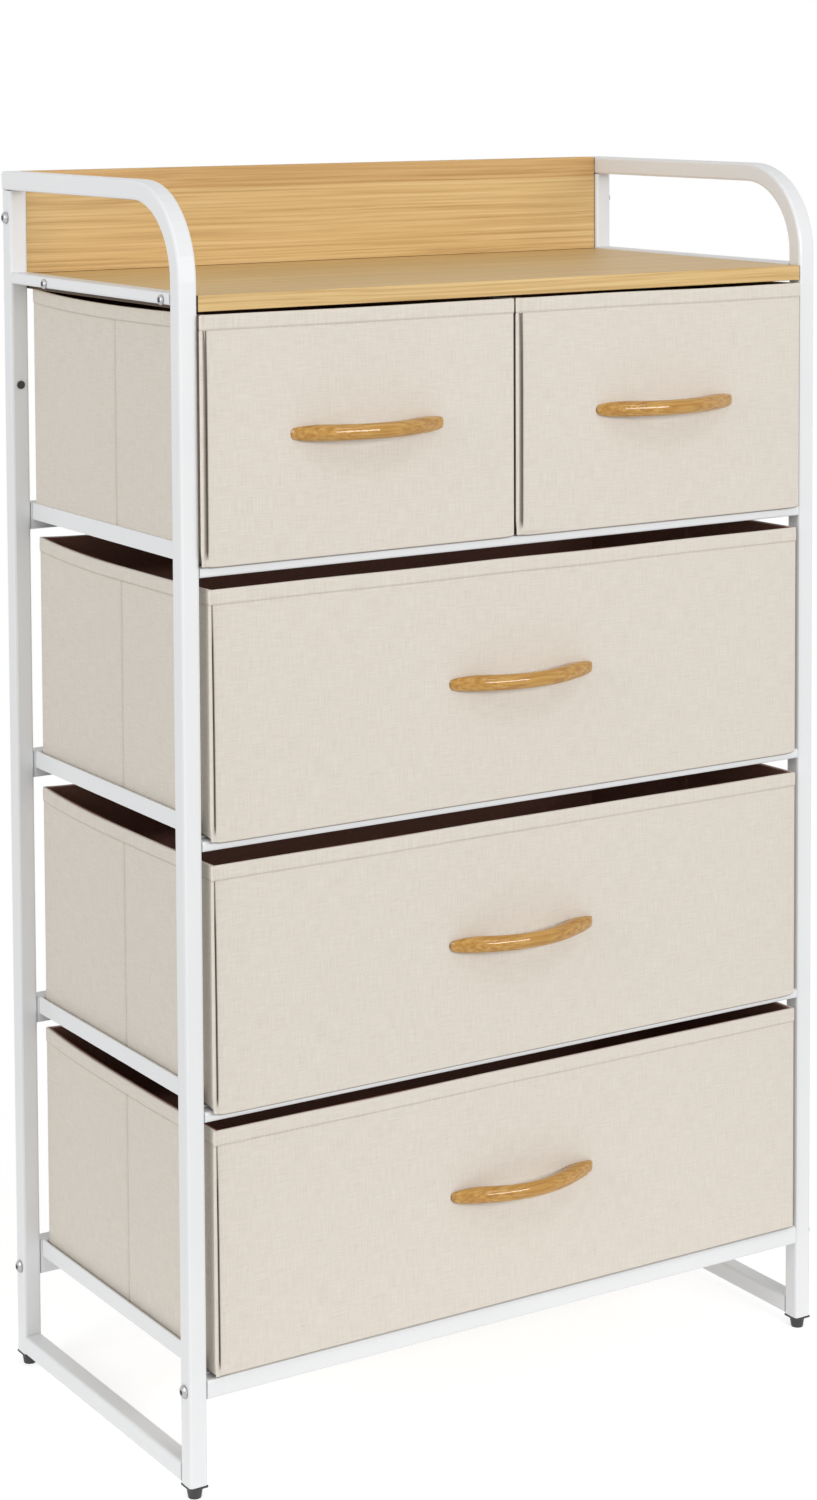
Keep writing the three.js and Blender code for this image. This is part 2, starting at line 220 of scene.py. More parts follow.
world = bpy.data.worlds.new("surround")
scene.world = world
world.use_nodes = True
surround = Shader(world.node_tree)
surround_background = world.node_tree.nodes["Background"]
surround_strength = 0.50
surround_background.inputs["Color"].default_value = (1.0, 1.0, 1.0, 1.0)
glow = surround.seen_white() * (1.0 - surround_strength) + surround_strength
world.node_tree.links.new(glow.socket, surround_background.inputs["Strength"])


def soft_lamp(name, place, target, width, height, watts):
    """An area lamp at place that faces target: its axes are the unit vectors away, right and up."""
    lamp = bpy.data.lights.new(name, "AREA")
    lamp.shape = "RECTANGLE"
    lamp.size = width
    lamp.size_y = height
    lamp.energy = watts
    holder = bpy.data.objects.new(name, lamp)
    away = np.asarray(place, dtype=float) - np.asarray(target, dtype=float)
    away /= np.linalg.norm(away)
    right = np.cross((0.0, 0.0, 1.0), away)
    right /= np.linalg.norm(right)
    up = np.cross(away, right)
    rows = [[right[i], up[i], away[i], place[i]] for i in range(3)]
    holder.matrix_world = Matrix(rows + [[0, 0, 0, 1]])
    scene.collection.objects.link(holder)


lit_point = (0.0, 0.0, 0.5)
soft_lamp("key_lamp", place=(0.1, -1.8, 3.0), target=lit_point, width=0.9, height=0.3, watts=5.5)
soft_lamp("front_lamp", place=(0.25, -3.0, 1.38), target=lit_point, width=2.0, height=0.6, watts=46.0)
soft_lamp("side_lamp", place=(-3.0, -0.3, 1.5), target=lit_point, width=1.6, height=1.6, watts=36.0)

# The camera, at the photograph's viewing angle: a long lens in front and to the left, at the
# height of the top rail, looking almost level, with the frame shifted down to the object.
image_height = 1500
focal_pixels = 3093.6
lens_centre_row = 274.7
sensor_height_mm = 36.0
camera_place = np.array([-1.33975, -2.10398, 1.06493])
camera_yaw, camera_pitch, camera_roll = np.radians([32.215, 3.962, -0.269])
forward = np.array([np.sin(camera_yaw) * np.cos(camera_pitch),
                    np.cos(camera_yaw) * np.cos(camera_pitch), -np.sin(camera_pitch)])
level_right = np.array([np.cos(camera_yaw), -np.sin(camera_yaw), 0.0])
level_up = np.cross(level_right, forward)
camera_right = np.cos(camera_roll) * level_right + np.sin(camera_roll) * level_up
camera_up = np.cos(camera_roll) * level_up - np.sin(camera_roll) * level_right
lens = bpy.data.cameras.new("camera")
lens.sensor_fit = "VERTICAL"
lens.sensor_height = sensor_height_mm
lens.lens = focal_pixels * sensor_height_mm / image_height
lens.shift_y = (lens_centre_row - image_height / 2) / image_height
camera = bpy.data.objects.new("camera", lens)
rows = [[camera_right[i], camera_up[i], -forward[i], camera_place[i]] for i in range(3)]
camera.matrix_world = Matrix(rows + [[0, 0, 0, 1]])
scene.collection.objects.link(camera)
scene.camera = camera

# The frame: square steel tube and thin angles, welded into two side frames and bolted
# across, in a smooth white powder coat with a faint orange peel.
coat, coat_shader, coat_skin = new_material("white_powder_coat", Metallic=0.0, Coat_Roughness=0.2)
coat_place = object_place(coat_shader)
peel = coat_shader.noise(coat_place, 650.0, 2.0)
cloudy = coat_shader.noise(coat_place, 9.0, 2.0)
feed(coat_shader, coat_skin,
     Base_Color=coat_shader.mix(cloudy, (0.750, 0.760, 0.770), (0.800, 0.805, 0.810)),
     Roughness=cloudy * 0.12 + 0.30,
     Normal=coat_shader.bump(peel, 0.00004, 0.5))
sides = ("left", "right")
ends = ("front", "rear")
steel_nodes = [f"{side}_{tube}" for side in sides for tube in ("bent_post", "rear_post", "floor_tube")]
steel_nodes += [f"{side}_board_rail" for side in sides]
steel_nodes += [f"{side}_angle_{level}" for side in sides for level in range(1, 5)]
steel_nodes += [f"{end}_cross_rail_{level}" for end in ends for level in range(1, 5)]


def dress(node, material):
    """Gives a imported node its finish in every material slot."""
    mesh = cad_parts[node].data
    mesh.materials.clear()
    mesh.materials.append(material)


for node in steel_nodes:
    dress(node, coat)

# The top board and back panel: particle board faced with an oak print, its short ends
# left raw and painted much darker than bare chipboard as painted shade under the side rails,
# screwed to the board rails and bolted between the rear posts.
oak, oak_shader, oak_skin = new_material("oak_laminate", Specular_IOR_Level=0.28)
oak_place = object_place(oak_shader)
sway = oak_shader.noise(oak_shader.stretched(oak_place, (1.6, 7.0, 7.0)), 1.0, 2.0)
sideways = oak_shader.node("ShaderNodeCombineXYZ", None, {"X": 0.0, "Y": sway * 6.0, "Z": sway * 6.0})
grain_place = oak_shader.node("ShaderNodeVectorMath", {"operation": "MULTIPLY_ADD"},
                              {0: oak_place, 1: (3.4, 400.0, 400.0), 2: sideways})
grain = oak_shader.noise(grain_place, 1.0, 5.0, 0.62)
pores = oak_shader.noise(oak_shader.stretched(oak_place, (16.0, 1100.0, 1100.0)), 1.0, 2.0, 0.6)
pore_lines = oak_shader.window(pores, 0.60, 0.72)
oak_tone = oak_shader.node("ShaderNodeValToRGB", {"stops": [
    (0.34, (0.51, 0.320, 0.120)), (0.50, (0.65, 0.440, 0.185)), (0.66, (0.73, 0.525, 0.250)),
]}, {"Fac": grain})
upper_plank_height = 0.0175
plank_seam = 0.0004
upper_plank_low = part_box("back_panel")[1][2] - upper_plank_height
board_height = oak_shader.node("ShaderNodeSeparateXYZ", None, {0: oak_place}, out="Z")
upper_plank = oak_shader.window(board_height, upper_plank_low, upper_plank_low + plank_seam)
planks = oak_shader.mix(upper_plank, oak_tone, (0.90, 0.82, 0.77), mode="MULTIPLY")
faced = oak_shader.mix(pore_lines * 0.22, planks, (0.44, 0.27, 0.12))
chips = oak_shader.node("ShaderNodeTexVoronoi", None, {"Vector": oak_place, "Scale": 520.0}, out="Color")
# Raw chipboard at the short ends, painted much darker than bare chipboard: painted shade where the ends sit
# under the side rails.
raw_board_in_painted_shade = oak_shader.mix(0.35, (0.085, 0.050, 0.026), chips, mode="MULTIPLY")
across_board = board_height.part("X").math("ABSOLUTE")
raw_end_start, raw_end_full = 0.2791, 0.2794
raw_end = oak_shader.window(across_board, raw_end_start, raw_end_full)
feed(oak_shader, oak_skin,
     Base_Color=oak_shader.mix(raw_end, faced, raw_board_in_painted_shade),
     Roughness=grain * 0.14 + 0.40,
     Normal=oak_shader.bump(pore_lines, 0.00006, 0.4))
weld_distance = 0.00001
arris_width = 0.0006
for node in ("top_board", "back_panel"):
    dress(node, oak)
    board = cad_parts[node]
    weld = board.modifiers.new("weld", "WELD")
    weld.merge_threshold = weld_distance
    arris = board.modifiers.new("arris", "BEVEL")
    arris.width = arris_width
    arris.segments = 2
    arris.limit_method = "ANGLE"

# Bolts and screws: zinc-plated steel, round heads with six-sided sockets, driven from
# outside through the posts into the cross rails and the panel, and up into the top board.
zinc, zinc_shader, zinc_skin = new_material("zinc_plate", Metallic=1.0)
zinc_place = object_place(zinc_shader)
zinc_cloud = zinc_shader.noise(zinc_place, 420.0, 3.0)
feed(zinc_shader, zinc_skin,
     Base_Color=zinc_shader.mix(zinc_cloud, (0.36, 0.36, 0.37), (0.55, 0.55, 0.56)),
     Roughness=zinc_cloud * 0.22 + 0.18)
screw_nodes = [f"rail_bolt_{end}_{side}" for end in ends for side in sides]
screw_nodes += [f"panel_bolt_{side}" for side in sides]
screw_nodes += [f"board_screw_{side}_{place}" for side in sides for place in (1, 2)]
for node in screw_nodes:
    dress(node, zinc)

# Feet and hole plugs: moulded black plastic. The feet are pushed into the lower ends of
# the posts, and the plugs into a spare hole of each rear post.
plastic, plastic_shader, plastic_skin = new_material("black_plastic", Specular_IOR_Level=0.5)
plastic_place = object_place(plastic_shader)
mould = plastic_shader.noise(plastic_place, 900.0, 2.0)
feed(plastic_shader, plastic_skin,
     Base_Color=plastic_shader.mix(mould, (0.022, 0.022, 0.024), (0.05, 0.05, 0.054)),
     Roughness=mould * 0.2 + 0.42,
     Normal=plastic_shader.bump(mould, 0.00005, 0.6))
plastic_nodes = [f"foot_{end}_{side}" for end in ends for side in sides]
plastic_nodes += [f"hole_plug_{side}" for side in sides]
for node in plastic_nodes:
    dress(node, plastic)

# The bins: linen-look cloth sewn over boards, with a folded hem along the top, a piped
# seam up the left front corner, a fold down the middle of each side, and a dark lining.
linen, linen_shader, linen_skin = new_material("linen_cloth", Sheen_Weight=0.15, Sheen_Roughness=0.6,
                                               Specular_IOR_Level=0.12)
cloth_place = uv_place(linen_shader)
thread_pitch = 0.00062
across_cloth = linen_shader.node("ShaderNodeSeparateXYZ", None, {0: cloth_place}, out="X")
up_cloth = across_cloth.part("Y")
across_threads = (across_cloth * (np.pi / thread_pitch)).math("SINE")
up_threads = (up_cloth * (np.pi / thread_pitch)).math("SINE")
weave = (across_threads * up_threads).math("ABSOLUTE")
slub_up = linen_shader.noise(linen_shader.stretched(cloth_place, (1300.0, 60.0, 1.0)), 1.0, 2.0, 0.6)
slub_across = linen_shader.noise(linen_shader.stretched(cloth_place, (60.0, 1300.0, 1.0)), 1.0, 2.0, 0.6)
blotch = linen_shader.noise(cloth_place, 16.0, 3.0)
threads = slub_up * 0.38 + slub_across * 0.38 + weave * 0.24
cloth_tone = linen_shader.node("ShaderNodeValToRGB", {"stops": [
    (0.32, (0.600, 0.545, 0.472)), (0.50, (0.705, 0.650, 0.574)), (0.68, (0.775, 0.725, 0.653)),
]}, {"Fac": threads})
seam_shade = shade_mark(linen_shader)
soft_cloth = linen_shader.mix(blotch * 0.3, cloth_tone, (0.715, 0.655, 0.578))
feed(linen_shader, linen_skin,
     Base_Color=linen_shader.mix(seam_shade, soft_cloth, (0.075, 0.045, 0.030)),
     Roughness=threads * 0.15 + 0.80,
     Normal=linen_shader.bump(threads, 0.0003, 0.6))

lining, lining_shader, lining_skin = new_material("dark_lining", Specular_IOR_Level=0.2)
lining_place = uv_place(lining_shader)
dimple = lining_shader.node("ShaderNodeTexVoronoi", None, {"Vector": lining_place, "Scale": 900.0})
felt = lining_shader.noise(lining_place, 260.0, 4.0)
# The lining's two tones are lighter than the cloth's own dark brown: painted light that makes up for the
# little lamp light reaching into the gaps between the bins.
lightened_lining_tone = lining_shader.mix(felt, (0.235, 0.110, 0.080), (0.350, 0.170, 0.124))
# Along the welts the shade attribute turns the lining a paler brown: a painted highlight on the raised seams.
feed(lining_shader, lining_skin,
     Base_Color=lining_shader.mix(shade_mark(lining_shader), lightened_lining_tone, (0.42, 0.22, 0.16)),
     Roughness=felt * 0.1 + 0.82,
     Normal=lining_shader.bump(dimple, 0.0002, 0.5))

# The shapes of the bins are worked out wall by wall, counter-clockwise from above.
side_right, side_back, side_left, side_front = 0, 1, 2, 3
corner_cloth_radius = 0.0012
corner_arc_points = 7
end_steps = np.array([0.0002, 0.0004, 0.0006, 0.0008, 0.0010, 0.0014,
                      0.0019, 0.0026, 0.0036, 0.0050, 0.0070])
middle_steps = np.array([0.0, 0.0006, 0.0012, 0.0020, 0.0030, 0.0045])
middle_clearance = 0.001
cover_spacing = 0.006
lining_spacing = 0.008


def outline(low_x, high_x, low_y, high_y, radius, spacing):
    """Points round a rectangle with rounded corners, with outward normals.

    Each straight side is cut into even steps near spacing, with closer steps at both ends and in the
    middle of the two short sides, and each corner is a quarter circle. Returns the points, the normals,
    the distance along the outline, the side of each point (-1 - corner on an arc) and its distance from
    the start of that side."""
    centres = [(high_x - radius, low_y + radius), (high_x - radius, high_y - radius),
               (low_x + radius, high_y - radius), (low_x + radius, low_y + radius)]
    starts = np.radians([-90.0, 0.0, 90.0, 180.0])
    points, normals, wall, along = [], [], [], []
    for corner in range(4):
        turn = starts[corner] + np.linspace(0.0, np.pi / 2, corner_arc_points)
        unit = np.stack([np.cos(turn), np.sin(turn)], axis=1)
        points.append(np.array(centres[corner]) + radius * unit)
        normals.append(unit)
        wall.append(np.full(corner_arc_points, -1 - corner))
        along.append(np.zeros(corner_arc_points))
        first = points[-1][-1]
        facing = unit[-1]
        last = np.array(centres[(corner + 1) % 4]) + radius * facing
        length = np.linalg.norm(last - first)
        even = np.linspace(0.0, length, max(int(round(length / spacing)), 2) + 1)[2:-2]
        places = [end_steps, length - end_steps]
        if corner in (side_left, side_right):
            even = even[np.abs(even - length / 2) > middle_steps[-1] + middle_clearance]
            places += [length / 2 + middle_steps, length / 2 - middle_steps[1:]]
        places = np.sort(np.concatenate(places + [even]))
        points.append(first + (places / length)[:, None] * (last - first))
        normals.append(np.repeat(facing[None], len(places), axis=0))
        wall.append(np.full(len(places), corner))
        along.append(places)
    points = np.concatenate(points)
    steps = np.linalg.norm(np.roll(points, -1, axis=0) - points, axis=1)
    distance = np.concatenate([[0.0], np.cumsum(steps)[:-1]])
    return points, np.concatenate(normals), distance, np.concatenate(wall), np.concatenate(along)


def ring_shell(rings):
    """Points and faces of a closed shell: rings of equal count, joined by quads, with one flat face on the
    first ring and one on the last."""
    count = len(rings[0])
    points = np.concatenate(rings)
    here = np.arange(count)
    after = (here + 1) % count
    faces = []
    for row in range(len(rings) - 1):
        low = row * count
        high = low + count
        faces.append(np.stack([low + here, low + after, high + after, high + here], axis=1))
    faces = np.concatenate(faces).tolist()
    faces.append(list(range(count))[::-1])
    faces.append(list(range(len(points) - count, len(points))))
    return points, faces


def swell(distance, height, seed, waves=7):
    """A smooth uneven field between about -1 and 1: the sum of seeded waves, each the sine of the distance
    along times the sine of the height, over the square root of their number."""
    draw = np.random.default_rng(seed)
    total = np.zeros(np.broadcast(distance, height).shape)
    for _ in range(waves):
        kx, kz = draw.uniform(4.0, 38.0), draw.uniform(3.0, 26.0)
        phase = draw.uniform(0.0, 2 * np.pi, 2)
        total += np.sin(kx * distance + phase[0]) * np.sin(kz * height + phase[1])
    return total / np.sqrt(waves)


def hump(value, centre, width):
    """A bell: exp(-((value - centre) / width)^2)."""
    return np.exp(-((value - centre) / width) ** 2)


cloth_thickness = 0.0016
lining_thickness = 0.0018
lining_gap = 0.0002
lining_below_rim = 0.0006
lining_swing = 0.0003
cloth_slack = 0.0006
cloth_swing = 0.0008
side_slack_share = 0.3
belly_power = 0.7
rim_swing = 0.0005
rim_waves = 4
rim_seed_step = 50
lining_seed_step = 3
rear_rise = 0.0024
rear_rise_fade = 0.030
side_sag = 0.0022
hem_height = 0.0112
hem_lift = 0.0006
stitch_line_width = 0.0005
stitch_line_depth = 0.0005
seam_place = 0.0006
seam_width = 0.00042
seam_depth = 0.0014
seam_spread = 0.006
seam_end_height = 0.006
seam_end_fade = 0.004
seam_hem_lean = 0.0009
seam_hem_fade_share = 0.20
pipe_rise = 0.0007
pipe_gap = 0.0005
lip_gap = 0.0003
lip_rise = 0.0008
lip_thickness_share = 0.4
fold_width = 0.0016
fold_depth = 0.0011
ridge_place = 0.0030
ridge_width = 0.0012
ridge_height = 0.0003
side_drop_limit = 0.0019
side_drop_length = 0.0115
corner_drop_share = 0.72
corner_drop_fade = 0.003
floor_edge_inset = 0.0034
skirt_insets = (0.0032, 0.0012, 0.0003)
skirt_rises = (0.0002, 0.0, 0.0006)
skirt_shade_shares = (0.0, 0.8, 0.6)
seam_shade_share = 1.4
fold_shade_share = 0.16
stitch_shade_share = 0.22
foot_heights = np.array([0.0013, 0.0020, 0.0050, 0.0085, 0.0120])
wall_start = 0.018
wall_end_below_hem = 0.004
wall_rings = 26
hem_heights = np.array([-0.0022, -0.0012, -0.0006, 0.0, 0.0004, 0.0012, 0.0022])
hem_rings_start = 0.004
hem_rings_end = 0.0012
hem_rings = 4
rim_insets = (-0.00024, 0.0005, 0.0014, cloth_thickness)
rim_falls = (0.0003, 0.0, 0.0001, 0.0004)
welt_width = 0.0022
corner_welt_place = 0.0012
corner_welt_width = 0.0020
welt_height = 0.0005
lining_rings = 22


def rim_curve(wall, along, wide, deep):
    """How far the rim stands above its level: it sags along each side by a half sine, and rises at the two
    rear corners by an exponential that fades along the side and the back."""
    from_rear = np.where(wall == side_left, along, deep - along)
    side = rear_rise * np.exp(-from_rear / rear_rise_fade)
    side -= side_sag * np.sin(np.pi * np.clip(from_rear / deep, 0.0, 1.0))
    back = rear_rise * np.exp(-np.minimum(along, wide - along) / rear_rise_fade)
    curve = np.where((wall == side_left) | (wall == side_right), side, 0.0)
    curve = np.where(wall == side_back, back, curve)
    return np.where((wall == -1 - side_back) | (wall == -1 - side_left), rear_rise, curve)


def bottom_drop(around, wall, along, wide, deep, front, front_drop):
    """How far the lower edge hangs below the floor of the bin.

    The front wall hangs by front_drop, a little less at its ends by an exponential. The front ends of the
    side walls hang less and rise in a straight slope to nothing, and the corner arcs lie between the two
    by the share of the arc's depth."""
    side_drop = min(front_drop, side_drop_limit)
    from_front = np.where(wall == side_left, deep - along, along)
    slope = np.clip(1.0 - from_front / side_drop_length, 0.0, 1.0)
    drop = np.where((wall == side_left) | (wall == side_right), side_drop * slope, 0.0)
    corner_share = np.clip((around[:, 1] - front) / corner_cloth_radius, 0.0, 1.0)
    corner_drop = (1.0 - corner_share) * corner_drop_share * front_drop + corner_share * side_drop
    in_corner = (wall == -1 - side_front) | (wall == -1 - side_right)
    drop = np.where(in_corner, corner_drop, drop)
    end_fade = np.exp(-np.minimum(along, wide - along) / corner_drop_fade)
    return np.where(wall == side_front, front_drop * (1.0 - (1.0 - corner_drop_share) * end_fade), drop)


def bin_cover(name, low, high, front_drop, lip_reach, seam_lean, seed):
    """The sewn outer cover: rings up the outside, over the rim and down the inside.

    A ring is the outline moved out along its normal by the swell of the cloth and the pipe of the left
    front corner, less the seam beside that pipe and the fold down the middle of each side, plus the lift
    of the hem. The corner itself is drawn out sideways by lip_reach and flattened to the front. The seam
    leans out towards the hem, and by seam_lean towards the bottom. The seam, the fold and the stitch line
    of the hem are also stored as shade."""
    around, normal, distance, wall, along = outline(
        low[0], high[0], low[1], high[1], corner_cloth_radius, cover_spacing)
    bottom, top = low[2], high[2]
    wide, deep = (high - low)[:2] - 2 * corner_cloth_radius
    on_side = (wall == side_left) | (wall == side_right)
    on_front = wall == side_front
    on_left_corner = wall == -1 - side_front
    wall_length = np.where(on_side, deep, wide)
    from_edge = np.where(wall >= 0, np.sin(np.pi * np.clip(along / wall_length, 0.0, 1.0)), 0.0)
    slack_share = np.where(on_front, 1.0, side_slack_share) * from_edge ** 0.5
    fold = np.where(on_side, hump(along, deep / 2, fold_width), 0.0)
    ridge = np.where(on_side, hump(along, deep / 2 + ridge_place, ridge_width), 0.0)
    seam = np.where(on_front, hump(along, seam_place, seam_width), 0.0)
    drop = bottom_drop(around, wall, along, wide, deep, low[1], front_drop)
    lean_share = np.where(on_front, np.clip(1.0 - (along - seam_place) / seam_spread, 0.0, 1.0), 0.0)
    pipe = np.where(on_left_corner | (on_front & (along < seam_place - pipe_gap)), 1.0, 0.0)
    lip_root = on_front & (along < seam_place - lip_gap)
    lip = on_left_corner | lip_root
    around[on_left_corner, 0] -= lip_reach
    around[lip_root, 0] -= lip_reach / 2
    around[lip, 1] = low[1] - lip_rise + (around[lip, 1] - low[1]) * lip_thickness_share
    hem_start = top - bottom - hem_height
    heights = np.concatenate([
        foot_heights, np.linspace(wall_start, hem_start - wall_end_below_hem, wall_rings),
        hem_start + hem_heights,
        np.linspace(hem_start + hem_rings_start, top - bottom - hem_rings_end, hem_rings)])
    rings, shades = [], []
    ripple = swell(distance, 0.0, seed + rim_seed_step, rim_waves) * rim_swing * from_edge
    tops = ripple + rim_curve(wall, along, wide, deep)

    def ring(offset, z, shade=0.0):
        """One ring at the heights z, moved out by offset and leaned beside the seam."""
        flat_place = around + normal * np.reshape(offset, (-1, 1))
        below = np.clip((bottom + hem_start - np.mean(z)) / hem_start, 0.0, 1.0)
        hem_lean = seam_hem_lean * np.exp(-below / seam_hem_fade_share)
        flat_place[:, 0] += lean_share * (seam_lean * below - hem_lean)
        rings.append(np.column_stack([flat_place, np.broadcast_to(z, len(around))]))
        shades.append(np.broadcast_to(shade, len(around)))

    def level(height):
        """The height of a ring: the drop fades by the cube of the share above it, and the rim's curve by
        the square of the share below it."""
        share = height / (top - bottom)
        return bottom + height - drop * (1 - share) ** 3 + tops * share ** 2

    ring(-floor_edge_inset, bottom)
    for inset, rise, shade in zip(skirt_insets, skirt_rises, skirt_shade_shares):
        ring(-inset, bottom - drop + rise, shade)
    for height in heights:
        share = height / (top - bottom)
        belly = np.sin(np.pi * np.clip(share, 0.0, 1.0)) ** belly_power
        loose = (swell(distance, height, seed) * cloth_swing + cloth_slack) * belly * slack_share
        below_hem = 1.0 if height < hem_start else 0.0
        open_seam = below_hem * np.clip((height - seam_end_height) / seam_end_fade, 0.0, 1.0)
        stitch = hump(height, hem_start, stitch_line_width)
        offset = loose - below_hem * (fold_depth * fold - ridge_height * ridge)
        offset = offset + open_seam * (pipe_rise * pipe - seam_depth * seam)
        offset = offset + hem_lift * (1.0 - below_hem) - stitch_line_depth * stitch
        shade = seam_shade_share * open_seam * seam + fold_shade_share * below_hem * fold
        shade = shade + stitch_shade_share * stitch
        ring(offset, level(height), np.clip(shade, 0.0, 1.0))
    rim = level(np.full(len(around), top - bottom))
    for inset, fall in zip(rim_insets, rim_falls):
        ring(-inset, rim - fall)
    ring(-cloth_thickness, bottom + cloth_thickness)
    points, faces = ring_shell(rings)
    travelled = np.tile(distance, len(rings))
    climbed = points[:, 2] - bottom
    cloth_uv = np.column_stack([travelled, climbed])
    piece = new_piece(name, points, faces, linen, cloth_uv, np.concatenate(shades))
    return piece, around, normal, distance, top + tops


def bin_lining(name, low, high, seed):
    """The lining: a shell inside the cover, its inner face moved by a slight swell that is zero at the
    corners, the floor and the rim.

    Its seams stand proud as narrow welts, at the two rear corners and down the middle of each side."""
    inset = cloth_thickness + lining_gap
    around, normal, distance, wall, along = outline(
        low[0], high[0], low[1], high[1], corner_cloth_radius, lining_spacing)
    bottom, top = low[2] + inset, high[2] - lining_below_rim
    wide, deep = (high - low)[:2] - 2 * corner_cloth_radius
    sides_only = (wall == side_left) | (wall == side_right)
    wall_length = np.where(sides_only, deep, wide)
    from_edge = np.where(wall >= 0, np.sin(np.pi * np.clip(along / wall_length, 0.0, 1.0)), 0.0)
    welt = np.where(sides_only, hump(along, deep / 2, welt_width), 0.0)
    rear_ends = np.minimum(along, wide - along)
    corner_welt = hump(rear_ends, corner_welt_place, corner_welt_width)
    welt = np.maximum(welt, np.where(wall == side_back, corner_welt, 0.0))
    inner = inset + lining_thickness
    rings, shades = [], []

    def ring(offset, z, shade=0.0):
        """One ring at the heights z, moved out by offset."""
        flat_place = around + normal * np.reshape(offset, (-1, 1))
        rings.append(np.column_stack([flat_place, np.broadcast_to(z, len(around))]))
        shades.append(np.broadcast_to(shade, len(around)))

    top = top + rim_curve(wall, along, wide, deep)
    ring(-inset, bottom)
    ring(-inset, top)
    for share in np.linspace(1.0, 0.0, lining_rings):
        z = bottom + lining_thickness + share * (top - bottom - lining_thickness)
        ripple = swell(distance, z, seed) * lining_swing * np.sin(np.pi * share) * from_edge
        # Half of each welt's share goes into the shade attribute, which paints the welts lighter: a painted
        # highlight on the raised seams.
        ring(-inner + ripple - welt_height * welt, z, 0.5 * welt)
    points, faces = ring_shell(rings)
    cloth_uv = np.column_stack([np.tile(distance, len(rings)), points[:, 2]])
    return new_piece(name, points, faces, lining, cloth_uv, np.concatenate(shades))


# The hem's stitches: pale sewing thread, one raised stitch after another along the lower
# edge of the folded hem, all round the bin.
thread, thread_shader, thread_skin = new_material("sewing_thread", Roughness=0.7)
thread_place = object_place(thread_shader)
thread_twist = thread_shader.noise(thread_place, 2200.0, 2.0)
feed(thread_shader, thread_skin,
     Base_Color=thread_shader.mix(thread_twist, (0.50, 0.43, 0.34), (0.70, 0.63, 0.54)))
stitch_pitch = 0.0042
stitch_length_share = 0.7
stitch_start_share = 0.15
stitch_place_shares = np.array([0.0, 0.25, 0.75, 1.0])
stitch_radii = np.array([0.00005, 0.00032, 0.00032, 0.00005])
stitch_rest = 0.0001
stitch_arch = 0.00025
thread_facets = 6


def stitch_row(name, around, normal, distance, height):
    """A row of stitches: one six-sided spindle every pitch along the outline, arched by a half sine.

    The outline is read at the distances of each spindle's four rings by straight interpolation."""
    starts = np.arange(0.0, distance[-1], stitch_pitch) + stitch_pitch * stitch_start_share
    turn = np.linspace(0.0, 2 * np.pi, thread_facets + 1)[:-1]
    s = starts[:, None] + stitch_place_shares[None] * stitch_pitch * stitch_length_share
    x = np.interp(s, distance, around[:, 0])
    y = np.interp(s, distance, around[:, 1])
    nx = np.interp(s, distance, normal[:, 0])
    ny = np.interp(s, distance, normal[:, 1])
    lift = np.sin(np.pi * stitch_place_shares) * stitch_arch + stitch_rest
    z = np.interp(s, distance, height)
    out = lift[None, :, None] + stitch_radii[None, :, None] * np.cos(turn)[None, None]
    rise = stitch_radii[None, :, None] * np.sin(turn)[None, None]
    points = np.stack([x[..., None] + nx[..., None] * out, y[..., None] + ny[..., None] * out,
                       z[..., None] + rise], axis=-1).reshape(-1, 3)
    ring_count = len(stitch_place_shares)
    per_stitch = ring_count * thread_facets
    base = (np.arange(len(starts)) * per_stitch)[:, None, None]
    row = base + (np.arange(ring_count - 1) * thread_facets)[None, :, None]
    next_row = row + thread_facets
    here = np.arange(thread_facets)[None, None]
    after = (here + 1) % thread_facets
    quads = np.stack([row + here, next_row + here, next_row + after, row + after], axis=-1)
    quads = quads.reshape(-1, 4).tolist()
    caps = [list(range(start, start + thread_facets)) for start in base.ravel()]
    tails = [list(range(start + per_stitch - thread_facets, start + per_stitch))[::-1]
             for start in base.ravel()]
    return new_piece(name, points, quads + caps + tails, thread)


# The five bins, from the top row down. The two top bins meet in the middle, where the right
# one's seam laps over the left one's front. Each bin rides on its drawer.
drawer_names = ("top_left", "top_right", "upper", "middle", "lower")
front_drops = (0.0030, 0.0030, 0.0045, 0.0055, 0.0)
lip_reaches = (0.0040, 0.0047, 0.0015, 0.0015, 0.0015)
seam_leans = (-0.0004, -0.0006, 0.0006, 0.0006, 0.0006)
pair_overlap = 0.0055
for index, name in enumerate(drawer_names):
    low, high = (np.array(corner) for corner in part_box(f"{name}_bin"))
    low[2] += front_drops[index]
    if name == "top_left":
        high[0] -= pair_overlap
    body = f"drawer_{name}"
    seed = 11 + 7 * index
    cover, around, normal, distance, rim = bin_cover(
        f"{name}_cover", low, high, front_drops[index], lip_reaches[index], seam_leans[index], seed)
    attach(cover, body)
    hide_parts(f"{name}_bin")
    inside = bin_lining(f"{name}_lining", low, high, seed + lining_seed_step)
    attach(inside, body)
    stitches = stitch_row(f"{name}_hem_stitches", around, normal, distance, rim - hem_height)
    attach(stitches, body)

# The base boards: stiff board wrapped in the lining's cloth, which lie loose on the floor
# of each bin and keep it flat.
wrapped, wrapped_shader, wrapped_skin = new_material("wrapped_board", Specular_IOR_Level=0.2)
wrapped_place = object_place(wrapped_shader)
wrapped_felt = wrapped_shader.noise(wrapped_place, 260.0, 4.0)
# The same tones as the lining, lighter than the cloth's own dark brown: painted light that makes up for the
# little lamp light reaching inside the bins.
feed(wrapped_shader, wrapped_skin,
     Base_Color=wrapped_shader.mix(wrapped_felt, (0.235, 0.110, 0.080), (0.350, 0.170, 0.124)),
     Roughness=wrapped_felt * 0.1 + 0.82,
     Normal=wrapped_shader.bump(wrapped_felt, 0.0002, 0.5))
for name in drawer_names:
    dress(f"{name}_base_board", wrapped)

